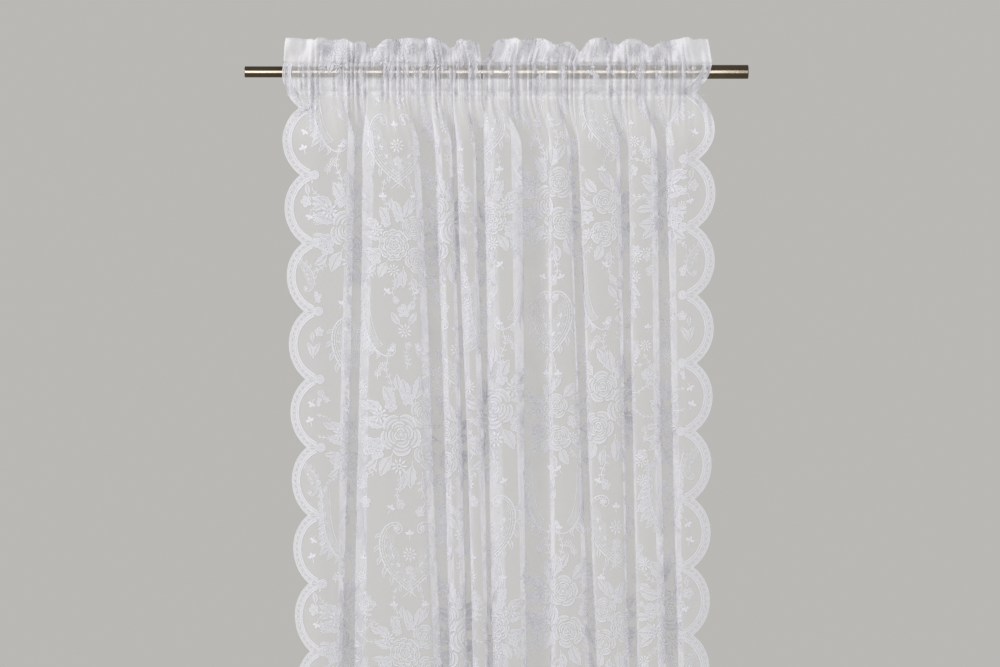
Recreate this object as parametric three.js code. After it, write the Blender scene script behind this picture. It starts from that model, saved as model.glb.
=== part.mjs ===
// A pair of lace rod pocket curtains gathered on a plain telescopic rod, hanging in their folds.
// Millimetres, +Z up, the front faces -Y, and the origin is the middle of the rod's axis.

import * as THREE from 'three';

// Rod: the inner tube slides inside the outer one, and both outer ends are closed and plain
const ROD_LENGTH = 906;
const OUTER_TUBE = { diameter: 25, wall: 2.2, start: -130, end: ROD_LENGTH / 2 };
const INNER_TUBE = { diameter: 20, wall: 1.2, start: -ROD_LENGTH / 2, end: 90 };
const END_PLATE = 3;
const ROD_SIDES = 24;

// Cloth
const CLOTH = 1.2;
const PANEL_LENGTH = 2400;
const HEADER_TOP = 61.9;
const HEADER_SEAM = 17;
const POCKET_SEAM = -41.6;
const HEM = HEADER_TOP - PANEL_LENGTH;

// Thickness along Y where two layers are sewn together, and of one layer of the pocket
const SEWN = 3.2;
const POCKET_LAYER = 2;

// Least cosine used where a layer's offset is mitred at a sharp turn
const LEAST_MITRE = 0.45;

// Half depth of the pocket's egg-shaped tunnel at each level between its two seams
const TUNNEL = [
  { z: -27, half: 7.5 },
  { z: -12, half: 12.6 },
  { z: 0, half: 13.2 },
  { z: 9, half: 11.5 },
];
const TUNNEL_SEAM_INSET = 1.4;

// Small gathers on the rod, and the larger waves of the frill above it
const GATHER_DEPTH = 9;
const GATHER_COLUMNS = 4;
const FRILL_LEVELS = [0.3, 0.65, 1];
const FRILL_DEPTH = 15;
const FRILL_WAVES = 6.5;
const FRILL_LEAN = 1.2;

// Heights between which the gathers open into the folds, and where the tables below are read
const FOLDS_OPEN = -135;
const TABLE_TOP = -90;
const TABLE_LOW = -1070;
const DRIFT_BELOW = 0.35;

// Scalloped side edge: circular bites between sharp notches
const SCALLOP_PITCH = 122;
const SCALLOP_DEPTH = 32;
const SCALLOP_STEPS = 6;

// Levels of the drop: a few close ones under the pocket, then one for every two scallops
const OPENING_LEVELS = [-65, -95, -130];
const SCALLOPS_PER_LEVEL = 2;

// Folds from left to right, one row for each turn of the cloth, as left and right limits in X at the
// top of the drop and lower down. A front turn bulges to -Y, a back turn to +Y, and one that overlaps
// the next hides part of it. A turned row is an edge folded in behind the next front turn.
const LEFT_PANEL = {
  name: 'panel_left',
  header: { left: -377, right: -34 },
  pocket: { left: -384, right: -27.5 },
  frillStart: 0.4,
  scallops: { side: -1, firstNotch: -65, edgeBack: 22 },
  dips: [
    { x: -221, fall: 15, width: 16 },
    { x: -238, fall: 3, width: 60 },
    { x: -84, fall: 16, width: 14 },
    { x: -36, fall: 9, width: 12 },
  ],
  folds: [
    { turn: 'front', topLeft: -384, topRight: -251, lowLeft: -359, lowRight: -275, depth: 26 },
    { turn: 'back', topLeft: -271, topRight: -219, lowLeft: -291, lowRight: -237, depth: 28 },
    { turn: 'front', topLeft: -242, topRight: -138, lowLeft: -257, lowRight: -96, depth: 30 },
    { turn: 'back', topLeft: -154, topRight: -100, lowLeft: -113, lowRight: -69, depth: 28 },
    { turn: 'front', topLeft: -112, topRight: -80, lowLeft: -84, lowRight: -51, depth: 24 },
    { turn: 'back', topLeft: -89, topRight: -62, lowLeft: -62, lowRight: -32, depth: 23 },
    { turn: 'front', topLeft: -73, topRight: -36, lowLeft: -43, lowRight: -14, depth: 27 },
    { turn: 'back', topLeft: -46, topRight: -10, lowLeft: -24, lowRight: 17, depth: 24 },
  ],
};

const RIGHT_PANEL = {
  name: 'panel_right',
  header: { left: -12, right: 379 },
  pocket: { left: -25, right: 388 },
  frillStart: 1.3,
  scallops: { side: 1, firstNotch: -36, edgeBack: 4 },
  dips: [
    { x: -14, fall: 27, width: 12 },
    { x: 109, fall: 13, width: 16 },
    { x: 150, fall: 24, width: 14 },
    { x: 220, fall: 12, width: 14 },
    { x: 280, fall: 18, width: 16 },
  ],
  folds: [
    { turn: 'turned', topLeft: -22, topRight: -4, lowLeft: -1, lowRight: 22, depth: 9 },
    { turn: 'front', topLeft: -28, topRight: 45, lowLeft: -6, lowRight: 57, depth: 24 },
    { turn: 'back', topLeft: 24, topRight: 100, lowLeft: 43, lowRight: 107, depth: 27 },
    { turn: 'front', topLeft: 93, topRight: 132, lowLeft: 95, lowRight: 168, depth: 22 },
    { turn: 'back', topLeft: 125, topRight: 150, lowLeft: 159, lowRight: 186, depth: 14 },
    { turn: 'front', topLeft: 143, topRight: 222, lowLeft: 179, lowRight: 240, depth: 25 },
    { turn: 'back', topLeft: 215, topRight: 240, lowLeft: 231, lowRight: 258, depth: 15 },
    { turn: 'front', topLeft: 235, topRight: 289, lowLeft: 251, lowRight: 305, depth: 23 },
    { turn: 'back', topLeft: 276, topRight: 321, lowLeft: 289, lowRight: 338, depth: 25 },
    { turn: 'front', topLeft: 300, topRight: 393, lowLeft: 327, lowRight: 383, depth: 21 },
  ],
};

// Shape of one turn: where its points lie across it and how much of its depth they have
const TURN_SHAPE = [
  { across: 0, out: 0.3 },
  { across: 0.14, out: 0.86 },
  { across: 0.38, out: 1 },
  { across: 0.64, out: 0.94 },
  { across: 0.86, out: 0.86 },
  { across: 1, out: 0.3 },
];
const TURNED_SHAPE = [
  { across: 1, out: 1 },
  { across: 0.35, out: 1 },
];

// The turn that ends in the scalloped edge, listed from that edge inwards. Its second point lies
// inside the notches, so that the strip outside it holds the scallops.
const EDGE_STRIP = SCALLOP_DEPTH + 8;
const EDGE_SHAPE = [
  { across: 0, out: 0.94 },
  { across: 0, out: 1 },
  { across: 0.25, out: 1.06 },
  { across: 0.55, out: 0.94 },
  { across: 0.84, out: 0.88 },
  { across: 1, out: 0.3 },
];

const brass = new THREE.MeshStandardMaterial({ color: 0x4a3b2a, roughness: 0.28, metalness: 1 });
const lace = new THREE.MeshStandardMaterial({
  color: 0xd9d8dd,
  roughness: 0.85,
  metalness: 0,
  side: THREE.DoubleSide,
});

function smoothStep(value) {
  const t = Math.min(Math.max(value, 0), 1);
  return t * t * (3 - 2 * t);
}

// How far down the tables a height lies: 0 at their top, 1 at their low level, a slow drift below
function tableShare(z) {
  const share = Math.max(0, (TABLE_TOP - z) / (TABLE_TOP - TABLE_LOW));
  return share <= 1 ? share : 1 + (share - 1) * DRIFT_BELOW;
}

// Points of one turn between its left and right limits, listed from left to right
function turnPoints(fold, left, right) {
  const toBack = fold.turn === 'back' ? 1 : -1;
  const shape = fold.turn === 'turned' ? TURNED_SHAPE : TURN_SHAPE;
  return shape.map(
    ({ across, out }) =>
      new THREE.Vector2(THREE.MathUtils.lerp(left, right, across), toBack * fold.depth * out),
  );
}

// Points of the front turn that ends in the scalloped edge, listed from that edge inwards
function edgePoints(fold, edge, inner, curl) {
  const stripEnd = edge + Math.sign(inner - edge) * EDGE_STRIP;
  return EDGE_SHAPE.map(({ across, out }, step) => {
    const x = step === 0 ? edge : THREE.MathUtils.lerp(stripEnd, inner, across);
    return new THREE.Vector2(x, -fold.depth * out + (step === 0 ? curl : 0));
  });
}

// Section of the folds at one height, as points in X and Y from left to right
function foldSection(panel, z) {
  const share = tableShare(z);
  const { side, edgeBack } = panel.scallops;
  const edgeRow = side < 0 ? 0 : panel.folds.length - 1;
  return panel.folds.flatMap((fold, row) => {
    const left = THREE.MathUtils.lerp(fold.topLeft, fold.lowLeft, share);
    const right = THREE.MathUtils.lerp(fold.topRight, fold.lowRight, share);
    if (row !== edgeRow) {
      return turnPoints(fold, left, right);
    }
    const curl = edgeBack * Math.min(share, 1);
    return side < 0
      ? edgePoints(fold, left, right, curl)
      : edgePoints(fold, right, left, curl).reverse();
  });
}

// Share of the cloth's width that lies before each column, measured along the folds half way down
function columnShares(panel) {
  const points = foldSection(panel, (TABLE_TOP + TABLE_LOW) / 2);
  const lengths = [0];
  for (let i = 1; i < points.length; i += 1) {
    lengths.push(lengths[i - 1] + points[i].distanceTo(points[i - 1]));
  }
  const total = lengths[lengths.length - 1];
  return lengths.map((length) => length / total);
}

// Zigzag of the small gathers, from -1 at the back to 1 at the front, a little uneven
function gather(column) {
  const phase = (column / GATHER_COLUMNS) * 2 * Math.PI;
  return Math.sin(phase) * (0.82 + 0.18 * Math.sin(column * 1.9));
}

function frillWave(share, start) {
  return Math.sin(share * FRILL_WAVES * 2 * Math.PI + start + 0.9 * Math.sin(share * 9));
}

// Height of the frill's top edge, which sinks where the frill leans over
function frillTop(panel, x) {
  const fall = panel.dips.reduce((sum, dip) => {
    const away = (x - dip.x) / dip.width;
    return sum + dip.fall * Math.exp(-away * away);
  }, 0);
  return HEADER_TOP - fall;
}

// Middle line of the cloth at the seams and above them: no folds, only gathers
function gatheredPoint(panel, share, column) {
  const x = THREE.MathUtils.lerp(panel.pocket.left, panel.pocket.right, share);
  return new THREE.Vector2(x, (-GATHER_DEPTH / 2) * gather(column));
}

function frillPoint(panel, share, column, level) {
  const base = gatheredPoint(panel, share, column);
  const topX = THREE.MathUtils.lerp(panel.header.left, panel.header.right, share);
  const x = THREE.MathUtils.lerp(base.x, topX, level);
  const wave = -FRILL_DEPTH * frillWave(share, panel.frillStart);
  const y = THREE.MathUtils.lerp(base.y, wave, smoothStep(level * FRILL_LEAN));
  const top = frillTop(panel, topX);
  return new THREE.Vector3(x, y, THREE.MathUtils.lerp(HEADER_SEAM, top, level));
}

// Middle line of the drop at one height: the gathers open into the folds
function dropSection(panel, shares, z) {
  const opened = smoothStep((POCKET_SEAM - z) / (POCKET_SEAM - FOLDS_OPEN));
  return foldSection(panel, z).map((point, column) =>
    gatheredPoint(panel, shares[column], column).lerp(point, opened),
  );
}

// Offset of a section's point square to the cloth, mitred so that the layer keeps its thickness
function squareOffset(points, i, distance) {
  const before = points[Math.max(i - 1, 0)];
  const here = points[i];
  const after = points[Math.min(i + 1, points.length - 1)];
  const first = here.clone().sub(before).normalize();
  const second = after.clone().sub(here).normalize();
  const along = first.clone().add(second).normalize();
  const reference = first.lengthSq() > 0 ? first : second;
  const mitre = Math.max(along.dot(reference), LEAST_MITRE);
  return new THREE.Vector2(-along.y, along.x).multiplyScalar(distance / mitre);
}

// How far the scalloped edge lies inside the line of its outermost points at a height
function scallopInset(panel, z) {
  const part = THREE.MathUtils.euclideanModulo(panel.scallops.firstNotch - z, SCALLOP_PITCH);
  const half = SCALLOP_PITCH / 2;
  const radius = (half * half + SCALLOP_DEPTH * SCALLOP_DEPTH) / (2 * SCALLOP_DEPTH);
  const along = part - half;
  return radius - Math.sqrt(radius * radius - along * along);
}

// Heights of the drop's rows of points, from the hem up to the pocket's seam
function dropLevels(panel) {
  const levels = [POCKET_SEAM, ...OPENING_LEVELS];
  const step = SCALLOP_PITCH * SCALLOPS_PER_LEVEL;
  for (let z = panel.scallops.firstNotch - step; z > HEM + SCALLOP_PITCH / 2; z -= step) {
    levels.push(z);
  }
  levels.push(HEM);
  return levels.reverse();
}

// Heights of the scalloped outline's points between two rows, both rows' own heights included
function outlineHeights(panel, low, high) {
  const step = SCALLOP_PITCH / SCALLOP_STEPS;
  const { firstNotch } = panel.scallops;
  const heights = [low];
  for (let k = Math.floor((firstNotch - low) / step); firstNotch - k * step < high; k -= 1) {
    const z = firstNotch - k * step;
    if (z > low + step / 3 && z < high - step / 3) {
      heights.push(z);
    }
  }
  heights.push(high);
  return heights;
}

// A closed surface made of points and triangles
class Surface {
  constructor() {
    this.points = [];
    this.faces = [];
  }

  add(x, y, z) {
    this.points.push(x, y, z);
    return this.points.length / 3 - 1;
  }

  triangle(a, b, c) {
    this.faces.push(a, b, c);
  }

  quad(a, b, c, d) {
    this.triangle(a, b, c);
    this.triangle(a, c, d);
  }

  // Quads between two rows of equal length, where the first row lies below the second when the
  // surface is seen from outside and the rows run to the right
  band(low, high) {
    for (let i = 0; i + 1 < low.length; i += 1) {
      this.quad(low[i], low[i + 1], high[i + 1], high[i]);
    }
  }

  bands(rows) {
    for (let k = 0; k + 1 < rows.length; k += 1) {
      this.band(rows[k], rows[k + 1]);
    }
  }

  geometry() {
    const geometry = new THREE.BufferGeometry();
    geometry.setAttribute('position', new THREE.Float32BufferAttribute(this.points, 3));
    geometry.setIndex(this.faces);
    geometry.computeVertexNormals();
    return geometry;
  }
}

// Front and back points of one section, each a little in front of or behind its middle line
function addLayer(surface, section, z, offsets) {
  return {
    z,
    front: section.map((p, i) => surface.add(p.x - offsets[i].x, p.y - offsets[i].y, z)),
    back: section.map((p, i) => surface.add(p.x + offsets[i].x, p.y + offsets[i].y, z)),
  };
}

// Moves the outer point of a section in to the scalloped outline at its height
function cutToScallop(panel, section, z) {
  const outer = panel.scallops.side < 0 ? 0 : section.length - 1;
  const next = outer === 0 ? 1 : outer - 1;
  section[outer].lerp(section[next], scallopInset(panel, z) / EDGE_STRIP);
  return section;
}

function dropLayer(surface, panel, shares, z) {
  const section = cutToScallop(panel, dropSection(panel, shares, z), z);
  const sewn = new THREE.Vector2(0, SEWN / 2);
  const offsets = section.map((point, i) =>
    z === POCKET_SEAM ? sewn : squareOffset(section, i, CLOTH / 2),
  );
  return addLayer(surface, section, z, offsets);
}

// The pocket at one height: the outer and inner face of its front and back layer
function pocketLayer(surface, panel, shares, level) {
  const section = shares.map((share, column) => gatheredPoint(panel, share, column));
  const stand = level.half + GATHER_DEPTH / 2;
  const outer = panel.scallops.side < 0 ? 0 : section.length - 1;
  section[outer].x -= panel.scallops.side * scallopInset(panel, level.z);
  const row = (away) => section.map((p) => surface.add(p.x, p.y + away, level.z));
  return {
    front: row(-stand - POCKET_LAYER),
    innerFront: row(-stand),
    innerBack: row(stand),
    back: row(stand + POCKET_LAYER),
  };
}

// One line of the tunnel's inside, where its two layers meet at a seam
function tunnelLine(surface, panel, shares, z) {
  return shares.map((share, column) => {
    const point = gatheredPoint(panel, share, column);
    return surface.add(point.x, point.y, z);
  });
}

function frillLayer(surface, panel, shares, level) {
  const row = (away) =>
    shares.map((share, column) => {
      const point = frillPoint(panel, share, column, level);
      return surface.add(point.x, point.y + away, point.z);
    });
  return { front: row(-SEWN / 2), back: row(SEWN / 2) };
}

// Triangles between a chord and the scalloped outline outside it, with both lists from low to high
function fanStrip(surface, chord, outline, outlineOnRight) {
  const half = Math.floor((outline.length - 1) / 2);
  const face = (inner, first, second) =>
    outlineOnRight
      ? surface.triangle(inner, first, second)
      : surface.triangle(first, inner, second);
  for (let j = 0; j + 1 < outline.length; j += 1) {
    face(j < half ? chord[0] : chord[1], outline[j], outline[j + 1]);
  }
  if (outlineOnRight) {
    surface.triangle(chord[0], outline[half], chord[1]);
  } else {
    surface.triangle(outline[half], chord[0], chord[1]);
  }
}

// The scalloped strip outside the outer column, between two rows of the drop
function scallopStrip(surface, panel, shares, low, high) {
  const onRight = panel.scallops.side > 0;
  const outer = onRight ? shares.length - 1 : 0;
  const next = onRight ? outer - 1 : 1;
  const front = [];
  const back = [];
  for (const z of outlineHeights(panel, low.z, high.z)) {
    if (z === low.z || z === high.z) {
      const layer = z === low.z ? low : high;
      front.push(layer.front[outer]);
      back.push(layer.back[outer]);
    } else {
      const section = cutToScallop(panel, dropSection(panel, shares, z), z);
      const offset = squareOffset(section, outer, CLOTH / 2);
      const { x, y } = section[outer];
      front.push(surface.add(x - offset.x, y - offset.y, z));
      back.push(surface.add(x + offset.x, y + offset.y, z));
    }
  }
  fanStrip(surface, [low.front[next], high.front[next]], front, onRight);
  fanStrip(surface, [low.back[next], high.back[next]], back, !onRight);
  const rim = front.map((point, j) => (onRight ? [point, back[j]] : [back[j], point]));
  surface.bands(rim);
}

// The cut side of the cloth at one column, closed from the hem or the seam up to the frill's top
function closeSide(surface, parts, column, onRight) {
  const { drop, pocket, frill, tunnelLow, tunnelHigh } = parts;
  const outward = (pair) => (onRight ? pair : [pair[1], pair[0]]);
  const pairOf = (layer) => outward([layer.front[column], layer.back[column]]);
  const seam = drop[drop.length - 1];
  const frillSeam = frill[0];
  surface.bands(drop.map(pairOf));
  surface.bands([
    outward([seam.front[column], tunnelLow[column]]),
    ...pocket.map((layer) => outward([layer.front[column], layer.innerFront[column]])),
    outward([frillSeam.front[column], tunnelHigh[column]]),
  ]);
  surface.bands([
    outward([tunnelLow[column], seam.back[column]]),
    ...pocket.map((layer) => outward([layer.innerBack[column], layer.back[column]])),
    outward([tunnelHigh[column], frillSeam.back[column]]),
  ]);
  surface.triangle(...pairOf(seam), tunnelLow[column]);
  surface.triangle(pairOf(frillSeam)[0], tunnelHigh[column], pairOf(frillSeam)[1]);
  surface.bands(frill.map(pairOf));
}

function buildPanel(panel) {
  const surface = new Surface();
  const shares = columnShares(panel);
  const onRight = panel.scallops.side > 0;
  const drop = dropLevels(panel).map((z) => dropLayer(surface, panel, shares, z));
  const pocket = TUNNEL.map((level) => pocketLayer(surface, panel, shares, level));
  const frill = [0, ...FRILL_LEVELS].map((level) => frillLayer(surface, panel, shares, level));
  const tunnelLow = tunnelLine(surface, panel, shares, POCKET_SEAM + TUNNEL_SEAM_INSET);
  const tunnelHigh = tunnelLine(surface, panel, shares, HEADER_SEAM - TUNNEL_SEAM_INSET);
  const seam = drop[drop.length - 1];
  const fromBehind = (rows) => rows.map((row) => row.toReversed());
  const insideStrip = (row) => (onRight ? row.slice(0, -1) : row.slice(1));

  surface.bands(drop.map((layer) => insideStrip(layer.front)));
  surface.bands(fromBehind(drop.map((layer) => insideStrip(layer.back))));
  const above = [...pocket, ...frill];
  surface.bands([seam.front, ...above.map((layer) => layer.front)]);
  surface.bands(fromBehind([seam.back, ...above.map((layer) => layer.back)]));
  surface.bands(fromBehind([tunnelLow, ...pocket.map((layer) => layer.innerFront), tunnelHigh]));
  surface.bands([tunnelLow, ...pocket.map((layer) => layer.innerBack), tunnelHigh]);

  const hem = drop[0];
  const top = frill[frill.length - 1];
  surface.band(hem.back, hem.front);
  surface.band(top.front, top.back);

  for (let k = 0; k + 1 < drop.length; k += 1) {
    scallopStrip(surface, panel, shares, drop[k], drop[k + 1]);
  }
  const outer = onRight ? shares.length - 1 : 0;
  const inner = onRight ? 0 : shares.length - 1;
  closeSide(surface, { drop: [seam], pocket, frill, tunnelLow, tunnelHigh }, outer, onRight);
  closeSide(surface, { drop, pocket, frill, tunnelLow, tunnelHigh }, inner, !onRight);

  const mesh = new THREE.Mesh(surface.geometry(), lace);
  mesh.name = panel.name;
  return mesh;
}

// A tube along X with one end closed by a plate, from its profile as radius and place along X
function buildTube(name, tube, plateAtEnd) {
  const radius = tube.diameter / 2;
  const bore = radius - tube.wall;
  const closed = plateAtEnd ? tube.end : tube.start;
  const open = plateAtEnd ? tube.start : tube.end;
  const plateInside = closed + (plateAtEnd ? -END_PLATE : END_PLATE);
  const profile = [
    new THREE.Vector2(0, plateInside),
    new THREE.Vector2(bore, plateInside),
    new THREE.Vector2(bore, open),
    new THREE.Vector2(radius, open),
    new THREE.Vector2(radius, closed),
    new THREE.Vector2(0, closed),
  ];
  const points = plateAtEnd ? profile : profile.toReversed();
  const geometry = new THREE.LatheGeometry(points, ROD_SIDES);
  geometry.rotateZ(-Math.PI / 2);
  const mesh = new THREE.Mesh(geometry, brass);
  mesh.name = name;
  return mesh;
}

const curtain = new THREE.Group();
curtain.name = 'rod_pocket_curtain_pair_with_rod';
curtain.add(buildTube('rod_outer_tube', OUTER_TUBE, true));
curtain.add(buildTube('rod_inner_tube', INNER_TUBE, false));
curtain.add(buildPanel(LEFT_PANEL));
curtain.add(buildPanel(RIGHT_PANEL));

export default curtain;
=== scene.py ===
"""A pair of sheer lace rod pocket curtains on a telescopic rod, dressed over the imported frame."""

import math
from collections import namedtuple

import bpy
import numpy as np
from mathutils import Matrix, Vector


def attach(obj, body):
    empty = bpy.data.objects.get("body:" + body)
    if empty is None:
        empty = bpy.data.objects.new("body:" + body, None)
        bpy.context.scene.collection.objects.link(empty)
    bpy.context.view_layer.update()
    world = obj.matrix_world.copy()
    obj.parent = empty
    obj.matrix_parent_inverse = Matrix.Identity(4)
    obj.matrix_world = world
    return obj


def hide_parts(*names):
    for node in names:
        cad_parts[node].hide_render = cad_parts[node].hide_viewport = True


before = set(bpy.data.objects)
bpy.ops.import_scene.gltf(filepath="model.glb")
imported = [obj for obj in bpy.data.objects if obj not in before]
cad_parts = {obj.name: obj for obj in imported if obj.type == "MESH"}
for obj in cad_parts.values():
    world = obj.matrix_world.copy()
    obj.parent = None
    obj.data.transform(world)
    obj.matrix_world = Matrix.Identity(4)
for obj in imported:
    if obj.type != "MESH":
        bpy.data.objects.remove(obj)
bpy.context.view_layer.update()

# Lengths are in millimetres in the row's frame, and MM turns them into Blender's metres
MM = 0.001

# Cloth and rod, as in the solids
ROD_HALF = 453.0
OUTER_TUBE_RADIUS, OUTER_TUBE_START = 12.5, -130.0
INNER_TUBE_RADIUS, INNER_TUBE_END = 10.0, 90.0
PANEL_WIDTH, PANEL_LENGTH = 785.0, 2400.0
HEADER_TOP, HEADER_SEAM, POCKET_SEAM = 61.9, 17.0, -41.6
FLAT_LENGTH = PANEL_LENGTH + HEADER_TOP - POCKET_SEAM
HEM = HEADER_TOP - PANEL_LENGTH
HEM_BAND = 38.0
LAYER_GAP = 1.4

# Pocket, and the lengths over which its gathers flatten towards its upper and lower seams
TUNNEL_HALF = 13.4
TUNNEL_POWER = 2.2
FLATTEN_UPPER, FLATTEN_LOWER = 7, 16

# Gathers on the rod, with a finer crinkle on them, and creases below them
GATHER_COUNT, GATHER_DEPTH = 30, 9.0
CRINKLE_COUNT, CRINKLE_SHARE = 67, 0.16
CREASE_COUNT, CREASE_DEPTH = 13.5, 2.4

# Frill: its large waves, the gathers that run up into it, and the ripple of its edge
FRILL_WAVES, FRILL_DEPTH, FRILL_LEAN = 6.5, 15.0, 2.2
FRILL_GATHER, GATHER_LOST = 3.4, 0.4
RIPPLE_HEIGHT = 0.6

# Heights between which the gathers open into folds, and where the fold tables are read
FOLDS_OPEN, CREASES_END = -135.0, -330.0
TABLE_TOP, TABLE_LOW, DRIFT_BELOW = -90.0, -1070.0, 0.35

# Limits of the random sway of each fold: size, length of its wave, and where it starts
SWAY_LIMITS = [(0.8, 2.2), (120, 260), (0, 6)]

# Scalloped edge
SCALLOP_PITCH, SCALLOP_DEPTH = 122.0, 32.0
SCALLOP_RADIUS = ((SCALLOP_PITCH / 2) ** 2 + SCALLOP_DEPTH**2) / (2 * SCALLOP_DEPTH)
EDGE_STRIP = SCALLOP_DEPTH + 8

Fold = namedtuple("Fold", "turn top_left top_right low_left low_right depth")
Dip = namedtuple("Dip", "x fall width")
Panel = namedtuple("Panel", "name side header pocket first_notch edge_back seed dips folds")

# Folds from left to right, with each turn's left and right limits at the top and lower down
LEFT = Panel(
    name="left", side=-1, header=(-377, -34), pocket=(-384, -26.5), first_notch=-65,
    edge_back=22, seed=3,
    dips=[Dip(-325, 4, 5), Dip(-257, 7, 7), Dip(-221, 15, 16), Dip(-238, 3, 60),
          Dip(-84, 16, 14), Dip(-54, 6, 5), Dip(-36, 9, 12)],
    folds=[Fold("front", -384, -251, -359, -275, 26), Fold("back", -271, -219, -291, -237, 28),
           Fold("front", -242, -138, -257, -96, 30), Fold("back", -154, -100, -113, -69, 28),
           Fold("front", -112, -80, -84, -51, 24), Fold("back", -89, -62, -62, -32, 23),
           Fold("front", -73, -36, -43, -14, 27), Fold("back", -46, -10, -24, 17, 24)],
)
RIGHT = Panel(
    name="right", side=1, header=(-12, 379), pocket=(-25.5, 388), first_notch=-36,
    edge_back=4, seed=8,
    dips=[Dip(-14, 27, 12), Dip(46, 4, 7), Dip(109, 13, 16), Dip(150, 24, 14),
          Dip(220, 12, 14), Dip(280, 18, 16), Dip(306, 5, 7), Dip(356, 3, 6)],
    folds=[Fold("turned", -22, -4, -1, 22, 9), Fold("front", -28, 45, -6, 57, 24),
           Fold("back", 24, 100, 43, 107, 27), Fold("front", 93, 132, 95, 168, 22),
           Fold("back", 125, 150, 159, 186, 14), Fold("front", 143, 222, 179, 240, 25),
           Fold("back", 215, 240, 231, 258, 15), Fold("front", 235, 289, 251, 305, 23),
           Fold("back", 276, 321, 289, 338, 25), Fold("front", 300, 393, 327, 383, 21)],
)

# Points across one turn as (place across it, share of its depth)
TURN_SHAPE = [(0, 0.3), (0.14, 0.86), (0.38, 1), (0.64, 0.94), (0.86, 0.86), (1, 0.3)]
TURNED_SHAPE = [(1, 1), (0.35, 1)]
EDGE_SHAPE = [(0, 1), (0.25, 1.06), (0.55, 0.94), (0.84, 0.88), (1, 0.3)]

# Fineness of the cloth's mesh, of its folds' curve, and of the map that threads are laid on
COLUMNS = 300
ROWS_PER_SCALLOP, POCKET_ROWS, FRILL_ROWS = 14, 15, 12
CURVE_STEPS, ROUNDING = 800, 3.5
MAP_STEP_ALONG, MAP_STEP_ACROSS = 4.0, 2
MAP_POCKET_ROWS, MAP_FRILL_ROWS = 25, 20

# How the gathered cloth is fed into the folds below it
FEED_SPREAD, FEED_LEAST = 45, 0.45

# Share of the light that the net stops: plain, and added by gathers, hem, pocket and its seam, where
# the seam's share is partly its extra cloth and partly painted light that brightens the shaded
# crease there
NET_COVER, GATHER_COVER, HEM_COVER = 0.2, 0.13, 0.22
POCKET_COVER, SEAM_CLOTH_AND_PAINTED_LIGHT = 0.17, 0.16
GATHERS_END, SEAM_HALF = 110.0, 5

# How the cover grows where a fold turns to the side: its power, and the least share that faces out
TURNED_COVER, LEAST_FACING = 0.8, 0.3

# Net's cells, shares of its cover in holes and threads, and whites of net and thread work
NET_CELL = 1.7
HOLE_COVER, THREAD_COVER = 0.62, 0.8
NET_WHITE = (0.95, 0.937, 0.962, 1)
LACE_WHITE = (0.77, 0.765, 0.802, 1)

# Kinds of stitch, as material indices of the lace pieces, and how far threads lie off the net
CORD, CLOTH_STITCH, LATTICE = 0, 1, 2
KIND_LIFT = {CORD: 0.25, CLOTH_STITCH: 0.0, LATTICE: 0.12}
THREAD_LIFT, OVERLAP_LIFT = 0.3, 0.03
SCROLLS_OVER, BORDER_OVER = 4, 8

# Columns of motifs beside the border, each second one dropped by half a repeat
COLUMN_PITCH, FIRST_COLUMN, COLUMN_OVERHANG = 206.0, 76.0, 60
LACE_REPEAT = 6 * SCALLOP_PITCH
FIRST_DROP, DROP_STEP, SIDE_SHIFT = 0.32, 0.5, 24
MIRRORED_COLUMN = 2
BORDER_WIDTH, BORDER_OVERLAP = 64.0, 12
EDGE_MARGIN, HEM_MARGIN, BORDER_HEM_MARGIN = 3, 4, 2

# Scalloped border: bands by depth inside its edge, eyelets, the arc inside them, and its knots
RIM, EYELETS, RIBBON = (0.2, 4.6), (4.6, 10.2), (10.2, 12.6)
EYELET_COUNT, EYELET_HOLE = 15, (0.55, 0.66)
ARC_TOP, ARC_END, ARC_HALF = 16.5, 51.0, 52.0
KNOT_INSET, KNOT_SIZE = 60.0, 7.6
BAND_STEPS = 25

# Machine stitches of the seams
STITCH_PITCH, STITCH_LENGTH, STITCH_WIDTH = 4.4, 2.9, 0.8

# Rod tubes' meshes
ROD_SIDES = 96
END_ROUND, END_STEPS = 0.8, 4
TUBE_LIP = 1.2

# Photograph's framing: 1.8 mm a pixel at the rod, seen level from the front
PIXEL, IMAGE_WIDTH = 1.8, 1000
VIEW_X, VIEW_Z = 6.3, -470.9
CAMERA_AWAY = 6000.0
SENSOR = 36.0
CLIP_END = 60
FLOOR_GAP, FLOOR_SIZE = 22.0, 7000.0

Motif = namedtuple("Motif", "points faces kinds")
Cloth = namedtuple("Cloth", "v points normals")


def smooth_step(value):
    t = np.clip(value, 0, 1)
    return t * t * (3 - 2 * t)


def blend(a, b, share):
    return a + (b - a) * share


def table_share(z):
    """How far a height lies between the two ends of the fold tables."""
    share = np.maximum(0, (TABLE_TOP - z) / (TABLE_TOP - TABLE_LOW))
    return np.where(share <= 1, share, 1 + (share - 1) * DRIFT_BELOW)


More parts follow.
